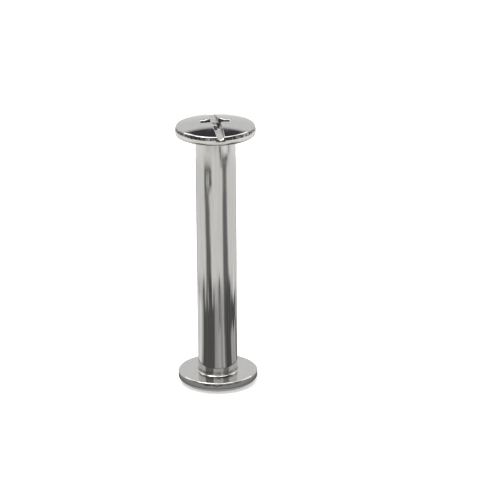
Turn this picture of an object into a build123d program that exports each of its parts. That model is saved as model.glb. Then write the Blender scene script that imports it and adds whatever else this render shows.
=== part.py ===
from build123d import *
import math
import os

# Binding barrel screw, a two-piece sleeve fastener. The barrel is a tube with a blind
# head and the screw closes it from the other end. All sizes are in mm. The origin is
# the centre of the barrel head's outer face and +Z runs up the common axis.

os.makedirs("parts", exist_ok=True)

# ---- sizes that both pieces share
grip_length = 50.0  # under the barrel head to the mouth of the barrel
head_diameter = 16.0  # both heads
barrel_diameter = 8.0  # outside of the tube
bore_diameter = 6.0  # major diameter of the M6 thread
thread_clearance = 0.05  # radial running clearance of the shank in the bore

# ---- barrel
barrel_head_thickness = 2.3
barrel_face_diameter = 13.5  # flat that the fastener stands on
barrel_bevel_height = 1.0  # bevel between the flat face and the band
barrel_bevel_bulge = 0.14  # how far the bevel stands out from a straight cone
band_edge_radius = 0.25  # upper edge of the barrel head's band
root_radius = 0.6  # fillet between the tube and its head
mouth_edge_chamfer = 0.3  # outer edge of the mouth
bore_lead_in = 0.4  # chamfer at the bore's mouth
bore_depth = 30.0  # full-diameter depth of the blind bore
drill_point_angle = 118.0  # included angle of the bore's end

# ---- screw
shank_length = 18.0
shank_root_flare = 0.25  # small cone under the head
shank_tip_chamfer = 0.7
rim_height = 1.8  # underside of the head to the edge of the crown
rim_edge_radius = 0.65  # lower edge of the rim
rim_taper_height = 0.55  # upper part of the rim, which leans in to the crown
rim_taper_width = 0.25
crown_rise = 1.1  # domed top above its edge

# ---- driver recess: a full-width slot crossed by a cruciform recess
slot_floor_width = 1.45
slot_draft_angle = 8.0  # each wall of the slot leans out from the axis plane
slot_floor_drop = 0.5  # ends of the slot's floor below the crown's edge
slot_floor_rise = 0.45  # the floor's middle above its ends
wing_span = 6.0  # across two opposite wings at the surface
wing_width = 1.4
wing_foot_width = 0.9  # wing width at the foot of the recess
corner_radius = 1.5  # rounded corner between two wings
recess_depth = 2.7  # below the top of the crown
wing_end_angle = 20.0  # slope of the wing ends from the axis
recess_foot_height = 0.9  # conical foot of the recess

mouth_height = barrel_head_thickness + grip_length
crown_edge_height = mouth_height + rim_height
crown_top_height = crown_edge_height + crown_rise
crown_edge_radius = head_diameter / 2 - rim_taper_width
crown_sphere_radius = (crown_edge_radius**2 + crown_rise**2) / (2 * crown_rise)


def crown_height(radius):
    """Height of the domed top at a distance from the axis."""
    drop = crown_sphere_radius - math.sqrt(crown_sphere_radius**2 - radius**2)
    return crown_top_height - drop


def arc_between(start, end, bulge):
    """Arc that stands out to the right of the line from start to end."""
    run = (end[0] - start[0], end[1] - start[1])
    length = math.hypot(run[0], run[1])
    middle = (
        (start[0] + end[0]) / 2 + bulge * run[1] / length,
        (start[1] + end[1]) / 2 - bulge * run[0] / length,
    )
    return ThreePointArc(start, middle, end)


def quarter_arc(start, end, centre):
    """Rounded edge from start to end about a centre."""
    radius = math.hypot(start[0] - centre[0], start[1] - centre[1])
    lean = ((start[0] + end[0]) / 2 - centre[0], (start[1] + end[1]) / 2 - centre[1])
    reach = radius / math.hypot(lean[0], lean[1])
    middle = (centre[0] + lean[0] * reach, centre[1] + lean[1] * reach)
    return ThreePointArc(start, middle, end)


def turned(edges):
    """Solid of revolution about Z from the edges of a closed half profile."""
    outline = Wire(edges)
    profile = Plane.XZ * make_face(outline)
    return revolve(profile, Axis.Z)


def barrel_solid():
    """Tube with a blind head, bored from the mouth."""
    outer = barrel_diameter / 2
    rim = head_diameter / 2
    face = barrel_face_diameter / 2
    top = barrel_head_thickness
    bore = bore_diameter / 2
    bore_floor = mouth_height - bore_depth
    drill_point = bore / math.tan(math.radians(drill_point_angle / 2))
    axis_foot = (0, 0)
    face_edge = (face, 0)
    band_low = (rim, barrel_bevel_height)
    band_high = (rim, top - band_edge_radius)
    seat_out = (rim - band_edge_radius, top)
    seat_in = (outer + root_radius, top)
    tube_low = (outer, top + root_radius)
    tube_high = (outer, mouth_height - mouth_edge_chamfer)
    mouth_out = (outer - mouth_edge_chamfer, mouth_height)
    mouth_in = (bore + bore_lead_in, mouth_height)
    bore_high = (bore, mouth_height - bore_lead_in)
    bore_low = (bore, bore_floor)
    drill_tip = (0, bore_floor - drill_point)
    return turned(
        [
            Line(axis_foot, face_edge),
            arc_between(face_edge, band_low, barrel_bevel_bulge),
            Line(band_low, band_high),
            quarter_arc(band_high, seat_out, (seat_out[0], band_high[1])),
            Line(seat_out, seat_in),
            quarter_arc(seat_in, tube_low, (seat_in[0], tube_low[1])),
            Line(tube_low, tube_high),
            Line(tube_high, mouth_out),
            Line(mouth_out, mouth_in),
            Line(mouth_in, bore_high),
            Line(bore_high, bore_low),
            Line(bore_low, drill_tip),
            Line(drill_tip, axis_foot),
        ]
    )


def screw_blank():
    """Domed head and plain shank, before the driver recess is cut."""
    rim = head_diameter / 2
    shank = bore_diameter / 2 - thread_clearance
    tip = mouth_height - shank_length
    rim_low = (rim - rim_edge_radius, mouth_height)
    rim_side = (rim, mouth_height + rim_edge_radius)
    rim_high = (rim, crown_edge_height - rim_taper_height)
    crown_edge = (crown_edge_radius, crown_edge_height)
    crown_middle = (crown_edge_radius / 2, crown_height(crown_edge_radius / 2))
    crown_top = (0, crown_top_height)
    tip_centre = (0, tip)
    tip_edge = (shank - shank_tip_chamfer, tip)
    shank_low = (shank, tip + shank_tip_chamfer)
    shank_high = (shank, mouth_height - shank_root_flare)
    root = (shank + shank_root_flare, mouth_height)
    return turned(
        [
            Line(tip_centre, tip_edge),
            Line(tip_edge, shank_low),
            Line(shank_low, shank_high),
            Line(shank_high, root),
            Line(root, rim_low),
            quarter_arc(rim_low, rim_side, (rim_low[0], rim_side[1])),
            Line(rim_side, rim_high),
            Line(rim_high, crown_edge),
            ThreePointArc(crown_edge, crown_middle, crown_top),
            Line(crown_top, tip_centre),
        ]
    )


def cross_outline(width, height):
    """Four-winged outline with rounded inner corners, at a height."""
    cross = Rectangle(width, wing_span) + Rectangle(wing_span, width)
    corners = cross.vertices().sort_by_distance((0, 0, 0))[:4]
    return Plane.XY.offset(height) * fillet(corners, corner_radius)


def cruciform_cutter():
    """Tapered cross whose wing ends slope in towards a conical foot."""
    foot = crown_top_height - recess_depth
    wings = loft(
        [
            cross_outline(wing_foot_width, foot),
            cross_outline(wing_width, crown_top_height),
        ],
        ruled=True,
    )
    slope = math.tan(math.radians(wing_end_angle))
    surface_radius = wing_span / 2
    surface = crown_height(surface_radius)
    shoulder = foot + recess_foot_height
    shoulder_radius = surface_radius - (surface - shoulder) * slope
    top_radius = surface_radius + (crown_top_height - surface) * slope
    envelope = turned(
        [
            Line((0, foot), (shoulder_radius, shoulder)),
            Line((shoulder_radius, shoulder), (top_radius, crown_top_height)),
            Line((top_radius, crown_top_height), (0, crown_top_height)),
            Line((0, crown_top_height), (0, foot)),
        ]
    )
    return wings & envelope


def slot_cutter():
    """Slot right across the head, with leaning walls and a gently arched floor."""
    reach = head_diameter / 2
    floor_end = crown_edge_height - slot_floor_drop
    floor_middle = floor_end + slot_floor_rise
    lean = math.tan(math.radians(slot_draft_angle))
    foot_half = slot_floor_width / 2 - slot_floor_rise * lean
    top_half = foot_half + (crown_top_height - floor_end) * lean
    section = make_face(
        Polyline(
            (-foot_half, floor_end),
            (foot_half, floor_end),
            (top_half, crown_top_height),
            (-top_half, crown_top_height),
            close=True,
        )
    )
    trough = extrude(Plane.XZ * section, amount=reach, both=True)
    side_view = make_face(
        Wire(
            [
                ThreePointArc((-reach, floor_end), (0, floor_middle), (reach, floor_end)),
                Line((reach, floor_end), (reach, crown_top_height)),
                Line((reach, crown_top_height), (-reach, crown_top_height)),
                Line((-reach, crown_top_height), (-reach, floor_end)),
            ]
        )
    )
    above_floor = extrude(Plane.YZ * side_view, amount=top_half, both=True)
    return trough & above_floor


barrel = barrel_solid()
screw = screw_blank() - slot_cutter() - cruciform_cutter()

export_step(barrel, "parts/barrel.step")
export_step(screw, "parts/screw.step")
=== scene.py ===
"""Binding barrel screw in polished nickel plate, dressed for rendering.

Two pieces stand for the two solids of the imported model: the barrel, a tube with a blind
head and a threaded bore, and the screw, whose domed head has a combination recess and
whose shank carries the thread. Shapes are worked out in millimetres as numpy grids and
put into meshes in metres, in the frame of the solids.
"""

from __future__ import annotations

import logging
import math
from dataclasses import dataclass, field
from enum import Enum
from typing import Any, Callable

import bpy
import numpy as np
from mathutils import Matrix, Vector


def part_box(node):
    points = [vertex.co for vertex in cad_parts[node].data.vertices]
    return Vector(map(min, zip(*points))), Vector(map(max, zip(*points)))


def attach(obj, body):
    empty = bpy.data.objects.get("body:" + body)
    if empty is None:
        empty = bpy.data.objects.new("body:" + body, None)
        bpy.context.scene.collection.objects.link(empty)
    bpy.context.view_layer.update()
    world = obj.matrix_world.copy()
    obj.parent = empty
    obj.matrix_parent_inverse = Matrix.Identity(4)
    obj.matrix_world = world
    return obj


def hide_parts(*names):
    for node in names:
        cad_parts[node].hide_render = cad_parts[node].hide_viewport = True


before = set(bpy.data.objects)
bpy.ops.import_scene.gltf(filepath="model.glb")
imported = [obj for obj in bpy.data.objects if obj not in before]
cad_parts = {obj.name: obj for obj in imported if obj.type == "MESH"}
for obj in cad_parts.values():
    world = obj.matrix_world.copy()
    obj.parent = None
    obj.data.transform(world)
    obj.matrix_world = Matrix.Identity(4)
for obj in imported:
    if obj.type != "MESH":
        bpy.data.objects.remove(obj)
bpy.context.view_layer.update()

log = logging.getLogger("binding_barrel_screw")

MM = 0.001
Colour = tuple[float, float, float, float]
Stops = list[tuple[float, Colour]]
Place = tuple[float, float]


# ---------------------------------------------------------------- colour and nodes


def linear(hex_colour: str) -> Colour:
    """Turns an sRGB hex colour into linear RGBA.

    Args:
        hex_colour: Six hex digits after a hash sign.

    Returns:
        Linear red, green and blue, and an alpha of 1.
    """
    digits = hex_colour.lstrip("#")
    coded = np.array([int(digits[i : i + 2], 16) for i in (0, 2, 4)]) / 255.0
    decoded = np.where(coded <= 0.04045, coded / 12.92, ((coded + 0.055) / 1.055) ** 2.4)
    return (float(decoded[0]), float(decoded[1]), float(decoded[2]), 1.0)


def grey(level: float) -> Colour:
    """A neutral linear colour of one level."""
    return (level, level, level, 1.0)


def add_node(
    tree: bpy.types.NodeTree,
    kind: str,
    settings: dict[str, Any] | None = None,
    inputs: dict[str | int, Any] | None = None,
) -> bpy.types.Node:
    """Adds one node, sets it up and links it.

    Args:
        tree: The node tree.
        kind: The node's type name.
        settings: Properties of the node by name, where "stops" are a colour ramp's.
        inputs: Sockets by name or number, each a plain value or an output socket to link.

    Returns:
        The new node.
    """
    node = tree.nodes.new(kind)
    for name, value in (settings or {}).items():
        if name == "stops":
            set_ramp(node, value)
        else:
            setattr(node, name, value)
    for socket, value in (inputs or {}).items():
        if isinstance(value, bpy.types.NodeSocket):
            tree.links.new(value, node.inputs[socket])
        else:
            node.inputs[socket].default_value = value
    return node


def set_ramp(node: bpy.types.Node, stops: Stops) -> None:
    """Replaces the stops of a colour ramp.

    Args:
        node: A colour ramp node.
        stops: Positions from 0 to 1 in order, each with its linear colour.
    """
    elements = node.color_ramp.elements
    while len(elements) > 1:
        elements.remove(elements[-1])
    elements[0].position, elements[0].color = stops[0]
    for position, colour in stops[1:]:
        elements.new(position).color = colour


def empty_tree(owner: bpy.types.Material | bpy.types.World) -> bpy.types.NodeTree:
    """Node tree of a material or world, cleared of its first nodes."""
    owner.use_nodes = True
    owner.node_tree.nodes.clear()
    return owner.node_tree


def turn_share(
    tree: bpy.types.NodeTree, parts: bpy.types.bpy_prop_collection
) -> bpy.types.NodeSocket:
    """Adds the angle round the upright axis as a share of a turn, 0.5 + atan2(y, x) / 2 pi.

    Args:
        tree: The node tree.
        parts: Outputs of a node that gives a place or direction as X, Y and Z.

    Returns:
        The socket with the share, which is 0.5 towards +X.
    """
    turn = add_node(
        tree, "ShaderNodeMath", {"operation": "ARCTAN2"}, {0: parts["Y"], 1: parts["X"]}
    ).outputs[0]
    return add_node(
        tree, "ShaderNodeMath", {"operation": "MULTIPLY_ADD"},
        {0: turn, 1: 0.5 / math.pi, 2: 0.5},
    ).outputs[0]


# ---------------------------------------------------------------- profiles and grids

HOLD = 0.02  # how far inside the end of a straight run its extra point lies, in mm
SAME_PLACE = 1e-4  # points closer than this, in mm, are welded into one


def straight(start: Place, end: Place, count: int) -> np.ndarray:
    """Points of a straight run, held close to both ends.

    A point a fiftieth of a millimetre inside each end keeps the shading flat up to the
    next edge. The run is start + (end - start) * t for t from 0 towards 1, without 1.

    Args:
        start: First radius and height.
        end: Last radius and height, left for the next part of the profile.
        count: Number of even steps.

    Returns:
        Radii and heights, one row a point.
    """
    a, b = np.array(start, float), np.array(end, float)
    hold = min(HOLD / float(np.hypot(*(b - a))), 0.25)
    t = np.unique(np.concatenate([np.linspace(0, 1, count + 1)[:-1], [hold, 1 - hold]]))
    return a + (b - a) * t[:, None]


def rounded(start: Place, corner: Place, end: Place, count: int) -> np.ndarray:
    """Points of a rounding between two tangent points that share a corner.

    The curve is the conic (1-t)^2 start + 2 w t (1-t) corner + t^2 end, divided by the
    sum of its weights, with w the sine of half the corner's angle, which makes it a true
    arc where both tangents are equally long.

    Args:
        start: Tangent point where the rounding begins.
        corner: Where the two tangents meet.
        end: Tangent point where it ends, left for the next part of the profile.
        count: Number of steps.

    Returns:
        Radii and heights, one row a point.
    """
    a, c, b = (np.array(p, float) for p in (start, corner, end))
    u, v = (a - c) / np.hypot(*(a - c)), (b - c) / np.hypot(*(b - c))
    weight = math.sqrt(max(0.0, (1 - float(u @ v)) / 2))
    t = np.linspace(0, 1, count + 1)[:-1, None]
    low, mid, high = (1 - t) ** 2, 2 * weight * t * (1 - t), t**2
    return (low * a + mid * c + high * b) / (low + mid + high)


def bulged(start: Place, end: Place, bulge: float, count: int) -> np.ndarray:
    """Points of a shallow arc that stands out to the right of its chord.

    A point at t of the chord is moved out by 4 t (1 - t) times the bulge.

    Args:
        start: First radius and height.
        end: Last radius and height, left for the next part of the profile.
        bulge: Height of the arc over its chord.
        count: Number of steps.

    Returns:
        Radii and heights, one row a point.
    """
    a, b = np.array(start, float), np.array(end, float)
    run = (b - a) / np.hypot(*(b - a))
    t = np.linspace(0, 1, count + 1)[:-1, None]
    return a + (b - a) * t + np.array([run[1], -run[0]]) * (4 * t * (1 - t) * bulge)


def quadratic(start: Any, corner: Any, end: Any, t: np.ndarray) -> np.ndarray:
    """The quadratic curve (1-t)^2 start + 2 t (1-t) corner + t^2 end."""
    return (1 - t) ** 2 * start + 2 * t * (1 - t) * corner + t**2 * end


def polar(radius: Any, angle: Any, height: Any) -> np.ndarray:
    """Points (r cos a, r sin a, z) in a last axis of three, from arrays that go together."""
    parts = (radius * np.cos(angle), radius * np.sin(angle), height)
    return np.stack(np.broadcast_arrays(*parts), axis=-1)


def around_axis(grid: np.ndarray) -> tuple[np.ndarray, np.ndarray]:
    """Radii and angles of points about the upright axis."""
    return np.hypot(grid[..., 0], grid[..., 1]), np.arctan2(grid[..., 1], grid[..., 0])


def turned(profile: np.ndarray, angles: np.ndarray) -> np.ndarray:
    """Surface of revolution about the upright axis.

    Args:
        profile: Radii and heights, one row a point.
        angles: Angles about the axis, without the first one repeated.

    Returns:
        Points as rows by columns by three, closed with its first column repeated.
    """
    around = np.concatenate([angles, angles[:1] + 2 * np.pi])
    return polar(profile[:, :1], around, profile[:, 1:])


def full_turn(columns: int) -> np.ndarray:
    """Even angles for a number of columns, from 0 up to a full turn, which is left out."""
    return np.linspace(0, 2 * np.pi, columns + 1)[:-1]


def closed(grid: np.ndarray) -> np.ndarray:
    """Repeats the first column of a grid after its last one."""
    return np.concatenate([grid, grid[:, :1]], axis=1)


def quads(rows: int, columns: int, first: int) -> np.ndarray:
    """Corner numbers of a grid's faces, facing out where rows run up and columns turn left.

    Args:
        rows: Number of rows of points.
        columns: Number of columns of points.
        first: Number of the grid's first point.

    Returns:
        Four corner numbers a face.
    """
    index = first + np.arange(rows * columns).reshape(rows, columns)
    corners = (index[:-1, :-1], index[:-1, 1:], index[1:, 1:], index[1:, :-1])
    return np.stack(corners, axis=-1).reshape(-1, 4)


def weld(grids: list[np.ndarray]) -> tuple[np.ndarray, np.ndarray, np.ndarray]:
    """Joins grids into one closed skin.

    Points that share a place to a tenth of a micrometre become one. A face with two
    corners at one place becomes a triangle, and one with fewer than three is dropped.

    Args:
        grids: Point grids whose borders meet.

    Returns:
        Points, four-sided faces and three-sided faces.
    """
    starts = np.cumsum([0] + [g.shape[0] * g.shape[1] for g in grids])
    faces = np.vstack([quads(g.shape[0], g.shape[1], s) for g, s in zip(grids, starts)])
    points = np.vstack([g.reshape(-1, 3) for g in grids])
    keys = np.round(points / SAME_PLACE).astype(np.int64)
    _, keep, joined = np.unique(keys, axis=0, return_index=True, return_inverse=True)
    faces = joined.reshape(-1)[faces]
    same = faces == np.roll(faces, -1, axis=1)
    whole = faces[~same.any(axis=1)]
    whole = whole[(whole[:, 0] != whole[:, 2]) & (whole[:, 1] != whole[:, 3])]
    pinched = same.sum(axis=1) == 1
    order = (np.argmax(same[pinched], axis=1)[:, None] + np.arange(1, 4)) % 4
    corners = np.take_along_axis(faces[pinched], order, axis=1)
    different = (corners != np.roll(corners, 1, axis=1)).all(axis=1)
    return points[keep], whole, corners[different]


def make_piece(
    name: str,
    grids: list[np.ndarray],
    shade_and_dullness: Callable[[np.ndarray, np.ndarray], np.ndarray] | None = None,
) -> bpy.types.Object:
    """Puts welded grids, given in millimetres, into a smooth mesh object in metres.

    Args:
        name: Name of the object and its mesh.
        grids: Point grids whose borders meet.
        shade_and_dullness: Takes points and normals and returns a mask from 0 to 1 of painted
            shade and duller plate, which the mesh keeps as the attribute "thin_plate".

    Returns:
        The object, linked to the scene, at the origin.
    """
    points, fours, threes = weld(grids)
    mesh = bpy.data.meshes.new(name)
    mesh.from_pydata((points * MM).tolist(), [], fours.tolist() + threes.tolist())
    mesh.polygons.foreach_set("use_smooth", np.ones(len(mesh.polygons), bool))
    mesh.update()
    if shade_and_dullness is not None:
        normals = np.empty(3 * len(points), np.float32)
        mesh.vertex_normals.foreach_get("vector", normals)
        # The mask darkens the colour as painted shade and dulls the plate.
        shade_attribute = mesh.attributes.new("thin_plate", "FLOAT", "POINT")
        shade_attribute.data.foreach_set(
            "value", shade_and_dullness(points, normals.reshape(-1, 3)).astype(np.float32)
        )
    piece = bpy.data.objects.new(name, mesh)
    bpy.context.scene.collection.objects.link(piece)
    return piece


def uneven(angle: np.ndarray, seed: int, lobes: int = 9) -> np.ndarray:
    """Slow, irregular waves round an axis, between about -1 and 1.

    The sum of sines of whole numbers of waves round the turn, each a little weaker than
    the last, with shifts from a seeded generator.

    Args:
        angle: Angles about the axis.
        seed: Seed of the shifts.
        lobes: Number of sines.

    Returns:
        Wave heights, of the same shape as the angles.
    """
    rng = np.random.default_rng(seed)
    waves = rng.integers(3, 34, lobes)
    shifts = rng.uniform(0, 2 * np.pi, lobes)
    sines = np.sin(angle[..., None] * waves + shifts) / np.sqrt(waves)
    return sines.sum(axis=-1) * 0.9


def dents(angle: np.ndarray, seed: int, spared: float, deepest: float) -> np.ndarray:
    """Dents round an axis: the uneven waves less the spared height, from -deepest to 0."""
    return np.clip(uneven(angle, seed) - spared, -deepest, 0)


def scaled(grid: np.ndarray, scale: np.ndarray, height: np.ndarray) -> np.ndarray:
    """Points with X and Y times the scale, at new heights."""
    return np.stack([grid[..., 0] * scale, grid[..., 1] * scale, height], axis=-1)


# ---------------------------------------------------------------- thread


@dataclass(frozen=True)
class Thread:
    """One right-hand metric thread, M6 with a pitch of 1 mm, all in millimetres."""

    pitch: float = 1.0
    crest_half: float = 0.0625
    flank_run: float = 0.5774
    phase_height: float = 52.0

    def turns(
        self,
        low: float,
        high: float,
        plain_radius: float,
        depth: float,
        limit: Callable[[np.ndarray, np.ndarray], np.ndarray],
        columns: int,
    ) -> np.ndarray:
        """Threaded wall between two plain rings.

        Each row climbs one pitch in a full turn, so it keeps one place on the thread's
        section: plain radius at the crest, changing by the depth over a 30 degree flank.
        Rows are cut off at the two heights, where they fall on the rings.

        Args:
            low: Height of the lower ring.
            high: Height of the upper ring.
            plain_radius: Radius at the wide, flat part of the thread.
            depth: Change of radius towards the axis.
            limit: Takes radii and heights and returns radii held to run-outs and chamfers.
            columns: Number of steps round the axis.

        Returns:
            A point grid whose two side borders meet one pitch apart.
        """
        reach = depth * self.flank_run
        edge = self.crest_half
        half = np.array(
            [0.0, edge, edge + 0.02, edge + reach / 2, edge + reach - 0.02, edge + reach]
        )
        section = np.concatenate([half, [0.5], 1 - half[:0:-1]])
        drop = np.interp(section, [0, edge, edge + reach, 1 - edge - reach, 1 - edge, 1],
                         [0, 0, 1, 1, 0, 0])
        lowest = math.floor((low - self.phase_height) / self.pitch) - 2
        highest = math.ceil((high - self.phase_height) / self.pitch) + 1
        whole = np.arange(lowest, highest)[:, None]
        start = (self.phase_height + self.pitch * (whole + section)).reshape(-1, 1)
        inward = np.tile(drop, len(whole)).reshape(-1, 1)
        turn = np.linspace(0, 1, columns + 1)
        height = np.clip(start + self.pitch * turn, low, high)
        radius = limit(plain_radius - depth * inward + 0 * height, height)
        return polar(radius, 2 * np.pi * turn, height)


def fade(value: np.ndarray, start: float, end: float) -> np.ndarray:
    """Smooth step 3 t^2 - 2 t^3 from 0 at start to 1 at end."""
    t = np.clip((value - start) / (end - start), 0, 1)
    return t * t * (3 - 2 * t)


# ---------------------------------------------------------------- finishes


@dataclass(frozen=True)
class PolishedNickelPlate:
    """Bright nickel electroplate on turned and headed mild steel.

    The steel is drawn, cold headed and tumbled before it is plated, so under the mirror
    there are faint lengthwise drawing lines, a slight waviness and fine handling marks.
    In the recess, deep in the bore, round the tube's foot and just under the head's pressed
    edge, a mask darkens the colour to a dark, warm grey and makes the plate duller: the
    darkening is painted shade, and under the head's edge a painted dark reflection.
    """

    name: str
    colour: str = "#DCDBD8"
    deep_colour: str = "#CFCDC9"
    # Dark, warm grey of the painted shade, which the mask mixes in.
    painted_shade_colour: str = "#6A665F"
    roughness: float = 0.08
    scuffed_roughness: float = 0.15
    dull_roughness: float = 0.34
    wave_mm: float = 3.0
    wave_height_mm: float = 0.006
    line_mm: float = 0.35
    line_height_mm: float = 0.0012
    mark_mm: float = 2.2
    blotch_mm: float = 0.5
    along: tuple[float, float, float] = (1.0, 1.0, 0.04)

    def build(self) -> bpy.types.Material:
        """Builds the plate's material.

        Returns:
            The material, all procedural, on Object coordinates and the piece's own attribute
            "thin_plate", a mask that darkens the colour as painted shade and dulls the plate.
        """
        material = bpy.data.materials.new(self.name)
        tree = empty_tree(material)
        place = add_node(tree, "ShaderNodeTexCoord").outputs["Object"]
        shade_attribute = add_node(
            tree, "ShaderNodeAttribute", {"attribute_name": "thin_plate"}
        ).outputs["Fac"]

        # Drawing lines: noise stretched along the axis, one line in a third of a
        # millimetre. Real ones are ten times finer and would not show.
        drawn = add_node(
            tree, "ShaderNodeMapping", inputs={"Vector": place, "Scale": self.along}
        ).outputs["Vector"]
        lines = add_node(
            tree, "ShaderNodeTexNoise",
            inputs={"Vector": drawn, "Scale": 1 / (self.line_mm * MM), "Detail": 3.0,
                    "Roughness": 0.6},
        ).outputs["Fac"]
        # Waviness of the blank under the plate, a few millimetres long.
        waves = add_node(
            tree, "ShaderNodeTexNoise",
            inputs={"Vector": place, "Scale": 1 / (self.wave_mm * MM), "Detail": 1.0},
        ).outputs["Fac"]
        # Handling marks: patches of slightly duller plate, about two millimetres across.
        dull = add_node(
            tree, "ShaderNodeTexNoise",
            inputs={"Vector": place, "Scale": 1 / (self.mark_mm * MM), "Detail": 5.0,
                    "Roughness": 0.7},
        ).outputs["Fac"]
        scuffed = add_node(
            tree, "ShaderNodeMapRange",
            inputs={"Value": dull, "From Min": 0.45, "From Max": 0.75,
                    "To Min": self.roughness, "To Max": self.scuffed_roughness},
        ).outputs["Result"]
        # Painted shade breaks up into blotches about half a millimetre across.
        blotch = add_node(
            tree, "ShaderNodeTexNoise",
            inputs={"Vector": place, "Scale": 1 / (self.blotch_mm * MM), "Detail": 4.0},
        ).outputs["Fac"]
        blotch_mask = add_node(
            tree, "ShaderNodeMath", {"operation": "MULTIPLY_ADD", "use_clamp": True},
            {0: blotch, 1: 4.5, 2: -1.4},
        ).outputs[0]
        blotched_shade_and_dullness = add_node(
            tree, "ShaderNodeMath", {"operation": "MULTIPLY"}, {0: blotch_mask, 1: shade_attribute}
        ).outputs[0]
        fine = add_node(
            tree, "ShaderNodeValToRGB",
            {"stops": [(0.35, linear(self.colour)), (0.8, linear(self.deep_colour))]},
            {"Fac": lines},
        ).outputs["Color"]
        # Painted shade: the mask mixes the fine colour towards the dark, warm grey.
        colour = add_node(
            tree, "ShaderNodeMix", {"data_type": "RGBA"},
            {"Factor": blotched_shade_and_dullness, 6: fine, 7: linear(self.painted_shade_colour)},
        ).outputs[2]
        roughness = add_node(
            tree, "ShaderNodeMapRange",
            inputs={"Value": blotched_shade_and_dullness, "To Min": scuffed, "To Max": self.dull_roughness},
        ).outputs["Result"]
        wave_bump = add_node(
            tree, "ShaderNodeBump",
            inputs={"Height": waves, "Strength": 1.0, "Distance": self.wave_height_mm * MM},
        ).outputs["Normal"]
        line_bump = add_node(
            tree, "ShaderNodeBump",
            inputs={"Height": lines, "Strength": 1.0,
                    "Distance": self.line_height_mm * MM, "Normal": wave_bump},
        ).outputs["Normal"]
        shader = add_node(
            tree, "ShaderNodeBsdfPrincipled",
            inputs={"Base Color": colour, "Metallic": 1.0, "Roughness": roughness,
                    "Normal": line_bump},
        )
        add_node(tree, "ShaderNodeOutputMaterial", inputs={"Surface": shader.outputs[0]})
        return material


class Finish(Enum):
    """The part's finishes, by the name that the material gets."""

    DRAWN_TUBE = PolishedNickelPlate(
        name="polished_nickel_plate_drawn", roughness=0.055, scuffed_roughness=0.11
    )
    # Its darker mask colour is the painted shade of the recess and the painted dark reflection
    # under the crown's edge.
    HEADED = PolishedNickelPlate(
        name="polished_nickel_plate_headed", along=(1.0, 1.0, 1.0), wave_mm=2.6,
        wave_height_mm=0.004, line_height_mm=0.0006, roughness=0.06,
        painted_shade_colour="#45423E",
    )


def dress(piece: bpy.types.Object, finish: Finish, node: str, body: str) -> None:
    """Gives a piece its finish and its place in the frame.

    Args:
        piece: The new piece.
        finish: The finish that it gets.
        node: The solid that it stands for.
        body: The body that it rides on.
    """
    piece.data.materials.append(finish.value.build())
    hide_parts(node)
    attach(piece, body)
    log.info("%s: %d faces in %s", piece.name, len(piece.data.polygons), finish.value.name)


# ---------------------------------------------------------------- barrel


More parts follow.
